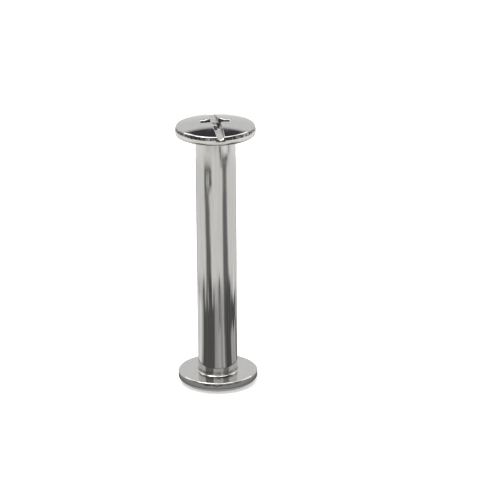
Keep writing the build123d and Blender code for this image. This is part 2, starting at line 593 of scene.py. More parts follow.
@dataclass
class Barrel:
    """Tube with a blind head, threaded inside from its mouth, in millimetres."""

    columns: int = 120
    face_radius: float = 6.75
    bevel_height: float = 1.0
    bevel_bulge: float = 0.14
    bevel_edge: float = 0.12
    head_thickness: float = 2.3
    band_edge: float = 0.25
    root_height: float = 0.7
    root_width: float = 0.22
    tube_radius: float = 4.0
    mouth_chamfer: float = 0.3
    mouth_edge: float = 0.06
    foot_zone: float = 1.5
    lead_in: float = 0.4
    bore_radius: float = 3.0
    bore_depth: float = 30.0
    drill_slope: float = 0.6
    thread_depth: float = 0.54
    run_out: float = 1.5
    dent_drop: float = 0.022
    dent_shrink: float = 0.02
    # How dark the painted shade round the tube's foot is.
    foot_shade: float = 0.7
    thread: Thread = field(default_factory=Thread)

    def __post_init__(self) -> None:
        """Takes the head's radius and the mouth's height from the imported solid."""
        low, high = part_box("barrel")
        self.head_radius = (high.x - low.x) / 2 / MM
        self.mouth = high.z / MM
        self.bore_floor = self.mouth - self.bore_depth

    def outside(self) -> np.ndarray:
        """Profile from the middle of the outer face, round the head and up to the mouth.

        Returns:
            Radii and heights: flat face, bulged bevel, upright band, flat seat, sloping
            root, straight tube, mouth chamfer and mouth, with each edge rounded.
        """
        face, rim, tube = self.face_radius, self.head_radius, self.tube_radius
        top, bevel, edge = self.head_thickness, self.bevel_height, self.bevel_edge
        soft, mouth, small = self.band_edge, self.mouth, self.mouth_edge
        lean = np.array([rim - face, bevel]) / math.hypot(rim - face, bevel)
        after_face = (face + lean[0] * edge, lean[1] * edge)
        before_band = (rim - lean[0] * edge, bevel - lean[1] * edge)
        seat_end, root_end = (tube + self.root_width, top), (tube, top + self.root_height)
        slant = small * math.sqrt(0.5)
        shoulder, rise = (tube, mouth - self.mouth_chamfer - small), mouth - self.mouth_chamfer
        on_chamfer = (tube - slant, rise + slant)
        inner = tube - self.mouth_chamfer
        off_chamfer, lip = (inner + slant, mouth - slant), (inner - small, mouth)
        entry = (self.bore_radius + self.lead_in, mouth)
        bore = (self.bore_radius, mouth - self.lead_in)
        parts = [
            straight((0.0, 0.0), (face - edge, 0.0), 5),
            rounded((face - edge, 0.0), (face, 0.0), after_face, 4),
            bulged(after_face, before_band, self.bevel_bulge, 10),
            rounded(before_band, (rim, bevel), (rim, bevel + edge), 5),
            straight((rim, bevel + edge), (rim, top - soft), 3),
            rounded((rim, top - soft), (rim, top), (rim - soft, top), 8),
            straight((rim - soft, top), seat_end, 8),
            rounded(seat_end, (tube, top), root_end, 14),
            straight(root_end, (tube, top + self.foot_zone), 6),
            straight((tube, top + self.foot_zone), shoulder, 24),
            rounded(shoulder, (tube, rise), on_chamfer, 3),
            straight(on_chamfer, off_chamfer, 2),
            rounded(off_chamfer, (inner, mouth), lip, 3),
            straight(lip, entry, 2),
            straight(entry, bore, 3),
            [bore],
        ]
        return np.vstack(parts)

    def bore_limit(self, radius: np.ndarray, height: np.ndarray) -> np.ndarray:
        """Holds the thread's radii to the lead-in cone and to the run-out at the bottom.

        Args:
            radius: Radii of the full thread.
            height: Heights of the same points.

        Returns:
            The larger of the thread's radius and the cone's, where the thread fades to
            the plain bore over the run-out above the bore's last half millimetre.
        """
        start = self.bore_floor + 0.5
        kept = fade(height, start, start + self.run_out)
        threaded = self.bore_radius + (radius - self.bore_radius) * kept
        return np.maximum(threaded, self.bore_radius + self.lead_in - (self.mouth - height))

    def bore_end(self) -> np.ndarray:
        """Profile of the drilled end, from the plain bore down to its point."""
        tip = self.bore_floor - self.bore_radius * self.drill_slope
        return np.vstack([straight((self.bore_radius, self.bore_floor), (0.0, tip), 5),
                          [(0.0, tip)]])

    def tumbled(self, grid: np.ndarray) -> np.ndarray:
        """Gives the head's upper edge the slight waves of a tumbled blank.

        Points within a millimetre of the edge move in and down by up to 0.035 mm, in
        irregular waves round the axis, and less the further they are from the edge.

        Args:
            grid: Points of the outside.

        Returns:
            The moved points.
        """
        radius, angle = around_axis(grid)
        away = np.hypot(radius - self.head_radius, grid[..., 2] - self.head_thickness)
        near = 1 - fade(away, 0.1, 0.9)
        lift = near * self.dent_drop * dents(angle, 4, 0.5, 1.6)
        shrink = 1 + near * self.dent_shrink * dents(angle, 9, 0.5, 1.6) / self.head_radius
        moved = scaled(grid, shrink, grid[..., 2] + lift)
        moved[:, -1] = moved[:, 0]
        return moved

    def shade_and_dullness(self, points: np.ndarray, normals: np.ndarray) -> np.ndarray:
        """Mask of painted shade and duller plate: strongest deep in the bore, and round the
        tube's foot.

        Args:
            points: Places in millimetres.
            normals: Normals at the same places, not used here.

        Returns:
            Values from 0 to 1.
        """
        radius, above = around_axis(points)[0], points[:, 2] - self.head_thickness
        # Painted shade: darker deeper into the bore, and in a ring round the tube's foot.
        bore = (radius < self.bore_radius + 0.2) * fade(self.mouth - points[:, 2], 0.4, 4.0)
        root = fade(above, 0.14, 0.22) * (1 - fade(above, 0.6, 0.95))
        root = root * (radius > self.tube_radius - 0.1) * (radius < self.tube_radius + 0.3)
        return np.maximum(bore * (above > 0), self.foot_shade * root)

    def build(self) -> bpy.types.Object:
        """Builds and dresses the barrel.

        Returns:
            The finished piece.
        """
        angles = full_turn(self.columns)
        wall = self.thread.turns(
            self.bore_floor, self.mouth - self.lead_in, self.bore_radius, self.thread_depth,
            self.bore_limit, self.columns,
        )
        outside = self.tumbled(turned(self.outside(), angles))
        grids = [outside, wall[::-1], turned(self.bore_end(), angles)]
        piece = make_piece("barrel_shell", grids, self.shade_and_dullness)
        dress(piece, Finish.DRAWN_TUBE, "barrel", "barrel")
        return piece


# ---------------------------------------------------------------- screw


@dataclass
class Recess:
    """Combination recess: a full-width slot crossed by a tapered cruciform recess.

    All sizes are in millimetres. The path round a quarter of the cross is numbered from 0
    at the middle of the wing on +X: 0 to 1 is half the wing's end, 1 to 2 its flank, 2 to 3
    the rounded inner corner, 3 to 4 the next wing's flank, and 4 to 5 half its end.
    """

    crown_edge: float
    crown_radius: float
    crown_rise: float = 1.1
    rim_radius: float = 8.0
    taper_height: float = 0.78
    slot_floor_width: float = 1.45
    slot_draft: float = math.tan(math.radians(8.0))
    floor_drop: float = 0.5
    floor_rise: float = 0.45
    wing_span: float = 6.0
    wing_width: float = 1.4
    wing_foot_width: float = 0.9
    corner_radius: float = 1.5
    depth: float = 2.7
    wing_end_slope: float = math.tan(math.radians(20.0))
    foot_height: float = 0.9
    lip: float = 0.12
    wing_lip: float = 0.36
    floor_corner: float = 0.07

    def __post_init__(self) -> None:
        """Works out the heights and circles that the sizes give."""
        self.top = self.crown_edge + self.crown_rise
        self.sphere = (self.crown_radius**2 + self.crown_rise**2) / (2 * self.crown_rise)
        self.foot = self.top - self.depth
        self.floor_end = self.crown_edge - self.floor_drop
        self.slot_foot_half = self.slot_floor_width / 2 - self.floor_rise * self.slot_draft
        self.floor_circle = (self.rim_radius**2 + self.floor_rise**2) / (2 * self.floor_rise)
        self.end_height = float(self.crown(np.array(self.wing_span / 2)))
        wall = self.end_height - (self.foot + self.foot_height)
        self.shoulder_radius = self.wing_span / 2 - wall * self.wing_end_slope

    def crown(self, radius: np.ndarray) -> np.ndarray:
        """Height of the dome: its top less the drop of a sphere at that radius."""
        return self.top - self.sphere + np.sqrt(self.sphere**2 - radius**2)

    def floor(self, y: np.ndarray) -> np.ndarray:
        """Height of the slot's floor, an arc along the slot."""
        circle = self.floor_circle
        return self.floor_end + self.floor_rise - circle + np.sqrt(circle**2 - y**2)

    def taper_radius(self, height: np.ndarray) -> np.ndarray:
        """Radius of the rim's leaning upper part at a height, straight in section."""
        share = np.clip((self.crown_edge - height) / self.taper_height, 0, 1)
        return self.crown_radius + share * (self.rim_radius - self.crown_radius)

    def wall_x(self, height: np.ndarray) -> np.ndarray:
        """Distance of the slot's leaning wall from the slot's middle plane at a height."""
        return self.slot_foot_half + (height - self.floor_end) * self.slot_draft

    def half_wing(self, height: np.ndarray) -> np.ndarray:
        """Half width of a wing, which grows evenly with height from the foot up."""
        share = (height - self.foot) / self.depth
        return (self.wing_foot_width + (self.wing_width - self.wing_foot_width) * share) / 2

    def outline(self, path: np.ndarray, height: np.ndarray) -> np.ndarray:
        """A point of the cross at a place on its path and a height.

        The half width w grows with height from foot to surface. A wing's end lies on a
        circle whose radius e grows with height, a flank is a line at w, and the corner is
        an arc of the corner radius about (w + radius, w + radius).

        Args:
            path: Places on the quarter path, from 0 to 5.
            height: Heights, of the same shape.

        Returns:
            X and Y of the points, in a last axis of two.
        """
        half = self.half_wing(height)
        end = self.wing_span / 2 + (height - self.end_height) * self.wing_end_slope
        centre = half + self.corner_radius
        mirrored = path > 2.5
        p = np.where(mirrored, 5 - path, path)
        spread = np.arcsin(half / end)
        tip_x, tip_y = end * np.cos(spread * p), end * np.sin(spread * p)
        corner_x = end * np.cos(spread)
        flank_x = corner_x + (centre - corner_x) * (p - 1)
        turn = -np.pi / 2 - (p - 2) * np.pi / 2
        arc_x = centre + self.corner_radius * np.cos(turn)
        arc_y = centre + self.corner_radius * np.sin(turn)
        x = np.where(p <= 1, tip_x, np.where(p <= 2, flank_x, arc_x))
        y = np.where(p <= 1, tip_y, np.where(p <= 2, half + 0 * p, arc_y))
        return np.stack([np.where(mirrored, y, x), np.where(mirrored, x, y)], axis=-1)

    def section(self, kind: np.ndarray, y: np.ndarray) -> np.ndarray:
        """A point of the slot's cross-section at a station along the slot.

        The section runs in from the dome over a rounded lip, down the leaning wall, round
        a small corner and along the flat floor. Lip and corner are quadratic curves with
        the sharp edge as their corner.

        Args:
            kind: Places on the section: 0 to 1 the lip, 1 to 2 the wall, 2 to 3 the corner.
            y: Stations, of a shape that goes with kind.

        Returns:
            X and Z of the points, in a last axis of two.
        """
        kind, y = np.broadcast_arrays(kind, y)
        edge_z = self.crown(np.hypot(self.slot_floor_width / 2, y))
        for _ in range(3):
            edge_x = self.wall_x(edge_z)
            edge_z = self.crown(np.hypot(edge_x, y))
        foot_z = self.floor(y)
        foot_x = self.wall_x(foot_z)
        lean = np.array([self.slot_draft, 1]) / math.hypot(self.slot_draft, 1)
        edge = np.stack([edge_x, edge_z], axis=-1)
        foot = np.stack([foot_x, foot_z], axis=-1)
        outer_x = edge_x + self.lip
        outer = np.stack([outer_x, self.crown(np.hypot(outer_x, y))], axis=-1)
        upper, lower = edge - lean * self.lip, foot + lean * self.floor_corner
        inner = np.stack([foot_x - self.floor_corner, foot_z], axis=-1)
        t = (kind - np.floor(np.minimum(kind, 2.999)))[..., None]
        lip, turn = quadratic(outer, edge, upper, t), quadratic(lower, foot, inner, t)
        wall = upper + (lower - upper) * t
        k = kind[..., None]
        return np.where(k < 1, lip, np.where(k < 2, wall, turn))


ON_LAND = -1.0  # marks a column of the head that runs over the dome
ON_FLOOR = 9.0  # marks a column that runs along the slot's floor
FLOOR_EDGE = 2.9999  # place on the slot's section where its corner reaches the floor


@dataclass
class Screw:
    """Screw with a domed head, a combination recess and a threaded shank, in millimetres."""

    rim_height: float = 1.8
    rim_edge: float = 0.52
    rim_taper_width: float = 0.17
    crown_edge_round: float = 0.2
    run_out: float = 0.3
    curl: float = 0.26
    floor_end_round: tuple[float, float] = (0.36, 0.26)
    flank_reach: float = 2.3
    shank_radius: float = 2.95
    root_flare: float = 0.25
    tip_chamfer: float = 0.7
    thread_depth: float = 0.6134
    relief: float = 1.3
    dent_drop: float = 0.014
    dent_shrink: float = 0.03
    land_steps: int = 30
    lip_steps: int = 5
    wall_steps: int = 3
    corner_steps: int = 3
    floor_steps: int = 11
    thread: Thread = field(default_factory=Thread)

    def __post_init__(self) -> None:
        """Takes the head's place and the shank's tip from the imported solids."""
        low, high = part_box("screw")
        self.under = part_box("barrel")[1].z / MM
        self.rim_radius = (high.x - low.x) / 2 / MM
        self.tip = low.z / MM
        self.recess = Recess(
            crown_edge=self.under + self.rim_height,
            crown_radius=self.rim_radius - self.rim_taper_width,
            rim_radius=self.rim_radius,
        )
        self.quarter = (
            self.land_steps + self.lip_steps + self.wall_steps
            + self.corner_steps + self.floor_steps
        )
        self.columns = 4 * self.quarter

    def edge_lines(self) -> tuple[np.ndarray, np.ndarray, np.ndarray, np.ndarray]:
        """Inner and outer ends of the columns in a quarter of the head.

        Land columns run from the cross to the crown's edge. Slot columns follow one place
        of the slot's section. Floor columns run from the cross to the end of the floor.
        Where a column's height depends on its place and the other way round, the two are
        worked out in turn until they agree.

        Returns:
            Path places of the inner ends, inner points, outer points, and the slot
            section's places of the columns, which are ON_LAND or ON_FLOOR off the slot.
        """
        r = self.recess
        kind = np.concatenate([
            np.linspace(0, 1, self.lip_steps + 1),
            1 + np.linspace(0, 1, self.wall_steps + 1)[1:],
            2 + np.linspace(0, 1, self.corner_steps + 1)[1:],
        ])
        kind[-1] = FLOOR_EDGE
        y_in = np.full(kind.shape, 1.5)
        y_out = np.full(kind.shape, 7.7)
        for _ in range(12):
            x, z = np.moveaxis(r.section(kind, y_in), -1, 0)
            centre = r.half_wing(z) + r.corner_radius
            y_in = centre - np.sqrt(r.corner_radius**2 - (x - centre) ** 2)
            x, z = np.moveaxis(r.section(kind, y_out), -1, 0)
            y_out = np.sqrt(r.taper_radius(z) ** 2 - x**2)
        x_in, z_in = np.moveaxis(r.section(kind, y_in), -1, 0)
        x_out, z_out = np.moveaxis(r.section(kind, y_out), -1, 0)
        centre = r.half_wing(z_in) + r.corner_radius
        swing = np.arctan2(centre - y_in, centre - x_in)
        slot_path = 3 - swing / (np.pi / 2)

        ends = np.array([0, 0.33, 0.66, 0.93, 1.0, 1.07, 1.3, 1.6, 2.0])
        rest = np.linspace(2.0, slot_path[0], self.land_steps + 1 - len(ends) + 1)[1:]
        land_path = np.concatenate([ends, rest])[:-1]
        spot = np.full(land_path.shape, r.top)
        for _ in range(12):
            plan = r.outline(land_path, spot)
            spot = r.crown(np.hypot(plan[:, 0], plan[:, 1]))
        land_in = np.column_stack([plan, spot])
        last = math.atan2(y_out[0], x_out[0])
        angle = np.linspace(0, last, self.land_steps + 1)[:-1]
        land_out = polar(r.crown_radius, angle, r.crown_edge)

        floor_path = np.concatenate([
            np.linspace(slot_path[-1], 3.0, 4)[1:], [3.4, 3.8, 3.94, 4.0, 4.06],
            [4.3, 4.65, 5.0]])
        spot = np.full(floor_path.shape, r.floor_end + r.floor_rise)
        for _ in range(12):
            plan = r.outline(floor_path, spot)
            spot = r.floor(plan[:, 1])
        floor_in = np.column_stack([plan, spot])
        x_floor = np.linspace(x_out[-1], 0, self.floor_steps + 1)[1:]
        y_floor = np.full(x_floor.shape, y_out[-1])
        for _ in range(8):
            y_floor = np.sqrt(r.taper_radius(r.floor(y_floor)) ** 2 - x_floor**2)
        floor_out = np.column_stack([x_floor, y_floor, r.floor(y_floor)])

        path = np.concatenate([land_path, slot_path, floor_path])
        inner = np.vstack([land_in, np.column_stack([x_in, y_in, z_in]), floor_in])
        outer = np.vstack([land_out, np.column_stack([x_out, y_out, z_out]), floor_out])
        kinds = np.concatenate([
            np.full(len(land_path), ON_LAND), kind, np.full(len(floor_path), ON_FLOOR)])
        return path, inner, outer, kinds

    def surface(
        self, inner: np.ndarray, outer: np.ndarray, kinds: np.ndarray, share: np.ndarray
    ) -> np.ndarray:
        """Points on the head's upper surface between the recess and the rim.

        Args:
            inner: Inner ends of the columns.
            outer: Outer ends of the columns.
            kinds: Slot section's places of the columns, or ON_LAND or ON_FLOOR.
            share: Shares of the way from inner to outer, rows by columns.

        Returns:
            Points, rows by columns by three: on the dome for land, on the slot's section
            for slot columns, and on the arched floor for floor columns.
        """
        r = self.recess
        plan = inner[None, :, :2] + (outer - inner)[None, :, :2] * share[..., None]
        x, y = plan[..., 0], plan[..., 1]
        dome = r.crown(np.hypot(x, y))
        cut = r.section(np.clip(kinds, 0, FLOOR_EDGE)[None, :], y)
        slot = (kinds >= 0) & (kinds < ON_FLOOR)
        x = np.where(slot, cut[..., 0], x)
        z = np.where(slot, cut[..., 1], np.where(kinds == ON_FLOOR, r.floor(y), dome))
        return np.stack([x, y, z], axis=-1)

    def top_quarter(self) -> np.ndarray:
        """Rows of points over a quarter of the head, from the recess's foot to the rim.

        Each column climbs the conical foot, then the cross's wall, turns over a rounded
        lip, crosses the dome or runs along the slot, and turns down over the rim's edge.
        Each rounding is a quadratic curve.

        Returns:
            Points, rows by columns by three, the first and last column on the axes.
        """
        r = self.recess
        path, inner, outer, kinds = self.edge_lines()
        start = path.copy()
        wall = (kinds >= 0) & (kinds < ON_FLOOR)
        start[wall] = np.linspace(path[wall][0] - 0.16, path[wall][-1], wall.sum())
        land = kinds < 0
        arc = land & (path > 2)
        start[arc] = 2 + (path[arc] - 2) * (start[wall][0] - 2) / (path[wall][0] - 2)

        low = np.full(path.shape, r.foot + r.foot_height / 2)
        for _ in range(20):
            plan = r.outline(start, low)
            low = r.foot + r.foot_height * np.hypot(plan[:, 0], plan[:, 1]) / r.shoulder_radius
        base = np.column_stack([plan, low])
        centre = np.array([0, 0, r.foot])
        cone = np.linspace(0, 1, 6)[:, None, None]
        cone = np.concatenate([cone[:-1], [[[0.985]]]])
        rows = [centre + (base - centre) * cone]

        lip = np.where(land, r.wing_lip + (r.lip - r.wing_lip) * fade(path, 2.15, 2.6), r.lip)
        high = inner[:, 2] - lip
        t = np.array([0, 0.02, 0.25, 0.5, 0.75, 0.97, 1.0])[:, None]
        height = low + (high - low) * t
        where = start + (path - start) * (height - low) / (inner[:, 2] - low)
        rows.append(np.concatenate([r.outline(where, height), height[..., None]], axis=-1))

        span = np.hypot(*(outer - inner)[:, :2].T)
        floor_share = np.clip(kinds, 0, 3) / 3
        edge_in, edge_down = (
            self.crown_edge_round + floor_share * (end - self.crown_edge_round)
            for end in self.floor_end_round)
        flank = land * fade(path, 0.9, 1.25) * (1 - fade(path, 2.0, 2.4))
        reach = lip * (1 + (self.flank_reach - 1) * flank)
        first, last = reach / span, 1 - edge_in / span
        begin = self.surface(inner, outer, kinds, first[None, :])
        finish = self.surface(inner, outer, kinds, last[None, :])
        t = np.linspace(0, 1, 8)[1:-1, None, None]
        rows.append(quadratic(rows[-1][-1], inner, begin, t))
        s = np.array([0, 0.008, 0.03, 0.08, 0.15, 0.23, 0.32, 0.41, 0.5, 0.59, 0.68, 0.76,
                      0.84, 0.91, 0.96, 0.992, 1.0])[:, None]
        rows.append(self.surface(inner, outer, kinds, first + (last - first) * s))

        below = outer[:, 2] - edge_down
        radius = np.where(below > r.crown_edge - r.taper_height, r.taper_radius(below),
                          r.rim_radius)
        swing = around_axis(outer)[1]
        t = np.linspace(0, 1, 8)[1:, None, None]
        rows.append(quadratic(finish, outer, polar(radius, swing, below), t))
        foot = r.crown_edge - r.taper_height - 0.06
        t = np.array([0.05, 0.3, 0.6, 0.85, 1.0])[:, None]
        height = below + (foot - below) * t
        rows.append(polar(np.minimum(r.taper_radius(height), r.rim_radius), swing, height))
        return np.concatenate(rows, axis=0)

    def top(self) -> np.ndarray:
        """The head's upper side, four times its quarter, from the rim in to the axis."""
        quarter = self.top_quarter()
        mirrored = quarter[:, ::-1] * np.array([-1, 1, 1])
        half = np.concatenate([quarter[:, :-1], mirrored[:, :-1]], axis=1)
        whole = np.concatenate([half, half * np.array([-1, -1, 1])], axis=1)
        return whole[::-1]

    def side(self, last: np.ndarray) -> np.ndarray:
        """The rim's lower half and the flat underside, down to the shank's root.

        The rim keeps the top's columns. Across the flat underside their angles go over
        evenly, by a smooth step of the radius, to the shank's even spacing.

        Args:
            last: Lowest row of the top, columns by three.

        Returns:
            Points from the underside's inner edge out and up to the top's lowest row.
        """
        rim, under, edge = self.rim_radius, self.under, self.rim_edge
        flare = self.shank_radius + self.root_flare
        swing = np.unwrap(around_axis(last)[1])
        even = full_turn(self.columns)
        profile = np.vstack([
            straight((flare, under), (rim - edge, under), 12),
            rounded((rim - edge, under), (rim, under), (rim, under + edge), 12),
            straight((rim, under + edge), (rim, last[0, 2]), 2),
        ])
        share = fade(profile[:, :1], flare + 0.3, rim - edge - 0.3)
        angle = even + (swing - even) * share
        grid = polar(profile[:, :1], angle, profile[:, 1:])
        return np.concatenate([grid, last[None]], axis=0)

    def shank_limit(self, radius: np.ndarray, height: np.ndarray) -> np.ndarray:
        """Holds the thread's radii to the tip's chamfer and to the run-out under the head.

        Args:
            radius: Radii of the full thread.
            height: Heights of the same points.

        Returns:
            The smaller of the thread's radius, which fades to the plain shank over the
            last turn, and the chamfer's cone.
        """
        start = self.under - self.root_flare - self.relief
        lost = fade(height, start, start + 1.0)
        threaded = radius + (self.shank_radius - radius) * lost
        return np.minimum(threaded, self.shank_radius - self.tip_chamfer + height - self.tip)

    def struck(self, grid: np.ndarray) -> np.ndarray:
        """Gives the slot the ends of a struck one.

        At the far end the floor runs out shallower: it moves up by a run-out that grows by
        a smooth step from the cross to the rim. At the near end it curls up towards the
        walls, by smooth steps of both places. A point moves by all of that on the floor,
        and by a share that falls evenly to nothing at the dome above and at the rim's
        lower part below. What stands on the rim's leaning part stays on it.

        Args:
            grid: Points of the head.

        Returns:
            The moved points.
        """
        r = self.recess
        x, y, z = np.moveaxis(grid, -1, 0)
        radius = np.hypot(x, y)
        dome = r.crown(np.minimum(radius, r.crown_radius))
        floor = r.floor(np.clip(np.abs(y), 0, r.rim_radius))
        foot = r.crown_edge - r.taper_height
        over = np.clip((dome - z) / (dome - floor), 0, 1)
        under = np.clip((z - foot) / (floor - foot), 0, 1)
        across = 1 - fade(np.abs(x), r.slot_floor_width / 2 - 0.04, r.slot_floor_width / 2 + 0.2)
        lift = self.run_out * fade(y, 3.6, 7.5)
        lift = lift + self.curl * fade(np.abs(x), 0.1, 0.8) * fade(-y, 6.7, 7.6)
        raised = z + lift * np.where(z > floor, over, under) * across
        at_rim = fade(radius, r.crown_radius - 0.6, r.crown_radius - 0.1)
        pulled = radius - (r.taper_radius(z) - r.taper_radius(raised)) * at_rim
        scale = np.where(radius > 1, pulled / np.maximum(radius, 1), 1.0)
        return scaled(grid, scale, raised)

    def tumbled(self, grid: np.ndarray) -> np.ndarray:
        """Gives the crown's edge the small dents and waves of a pressed, tumbled blank.

        Points near the edge move down and in by up to 0.04 mm, in irregular waves round
        the axis, and less the further they are from the edge.

        Args:
            grid: Points of the head.

        Returns:
            The moved points.
        """
        r = self.recess
        radius, angle = around_axis(grid)
        away = np.hypot(radius - r.crown_radius, grid[..., 2] - r.crown_edge)
        near = 1 - fade(away, 0.08, 0.5)
        lift = near * self.dent_drop * dents(angle, 21, 0.4, 1.4)
        shrink = 1 + near * self.dent_shrink * dents(angle, 5, 0.4, 1.4) / r.crown_radius
        return scaled(grid, shrink, grid[..., 2] + lift)

    def shade_and_dullness(self, points: np.ndarray, normals: np.ndarray) -> np.ndarray:
        """Mask of painted shade and duller plate.

        It is strong on the recess's steep walls, as painted shade, more so with depth, and along
        a band just under the crown's edge, as a painted dark reflection.

        Args:
            points: Places in millimetres.
            normals: Normals at the same places.

        Returns:
            Values from 0 to 1.
        """
        r = self.recess
        radius = around_axis(points)[0]
        dome = r.crown(np.minimum(radius, r.crown_radius))
        sunk = np.where(radius < r.crown_radius + 0.1, dome - points[:, 2], 0.0)
        steep = 1 - fade(np.abs(normals[:, 2]), 0.35, 0.8)
        inside = points[:, 2] > r.foot - 0.05
        deep = fade(sunk, 0.8, 1.2) * inside
        # Painted shade on the recess's steep walls, growing with depth, none near the rim.
        walls = fade(sunk, 0.1, 0.34) * steep * inside * (0.95 - 0.5 * deep)
        walls = walls * (1 - fade(radius, r.crown_radius - 0.5, r.crown_radius - 0.3))
        # Painted dark reflection: a band just under the crown's edge, reaching lower near the
        # slot's ends.
        below = r.crown_edge - points[:, 2]
        low = 0.62 + 0.2 * (1 - fade(np.abs(points[:, 0]), 0.8, 1.3))
        band = fade(below, 0.05, 0.14) * (1 - fade(below, low, low + 0.14))
        band = band * (radius > r.crown_radius - 0.05) * steep
        return np.maximum(np.maximum(walls, 0.35 * deep), band)

    def build(self) -> bpy.types.Object:
        """Builds and dresses the screw.

        Returns:
            The finished piece.
        """
        angles = full_turn(self.columns)
        tip_radius = self.shank_radius - self.tip_chamfer
        shank_top = self.under - self.root_flare
        end = np.vstack([straight((0.0, self.tip), (tip_radius, self.tip), 3),
                         [(tip_radius, self.tip)]])
        flare = np.vstack([
            straight((self.shank_radius, shank_top),
                     (self.shank_radius + self.root_flare, self.under), 3),
            [(self.shank_radius + self.root_flare, self.under)]])
        wall = self.thread.turns(
            self.tip, shank_top, self.shank_radius, self.thread_depth, self.shank_limit,
            self.columns,
        )
        top = self.top()
        head = np.concatenate([self.side(top[0])[:-1], top], axis=0)
        head = self.tumbled(self.struck(head))
        grids = [turned(end, angles), wall, turned(flare, angles), closed(head)]
        piece = make_piece("screw_shell", grids, self.shade_and_dullness)
        dress(piece, Finish.HEADED, "screw", "screw")
        return piece


# ---------------------------------------------------------------- studio


@dataclass(frozen=True)
class Card:
    """One grey card on the table: its place in degrees right of the camera, and its level."""

    bearing: float
    half_width: float
    level: float
    soft: float = 8.0


@dataclass(frozen=True)
class Ring:
    """Cards at one distance from the part, on a table of one level.

    The ring takes over from the one inside it between the distances start and start plus
    blend. A ragged ring's inner border wanders in and out, and a streaked ring's levels
    are broken up by fine streaks.
    """

    name: str
    start: float
    blend: float
    table: float
    cards: tuple[Card, ...]
    ragged: bool = False
    streaked: bool = False

    def stops(self, camera: float) -> Stops:
        """Ramp stops for a full turn.

        Each card is flat over its width and goes over to the table's level within its
        soft edge, or within half the gap to the next card where that is less.

        Args:
            camera: The camera's direction in degrees from +X.

        Returns:
            Stops in order for a ramp that runs from -180 to 180 degrees from +X, with the
            level at its two ends worked out between their neighbours.
        """
        places, levels = [], []
        count = len(self.cards)
        for index, card in enumerate(self.cards):
            before, after = self.cards[index - 1], self.cards[(index + 1) % count]
            low, high = card.bearing - card.half_width, card.bearing + card.half_width
            gap_low = (low - before.bearing - before.half_width) % 360
            gap_high = (after.bearing - after.half_width - high) % 360
            places += [low - min(card.soft, 0.49 * gap_low), low, high,
                       high + min(card.soft, 0.49 * gap_high)]
            levels += [self.table, card.level, card.level, self.table]
        turned_places = (np.array(places) + camera + 180) % 360 - 180
        order = np.argsort(turned_places)
        around, values = turned_places[order], np.array(levels)[order]
        seam = float(np.interp(180, [around[-1], around[0] + 360], [values[-1], values[0]]))
        inner = [(float(b) / 360 + 0.5, grey(float(v))) for b, v in zip(around, values)]
        return [(0.0, grey(seam))] + inner + [(1.0, grey(seam))]


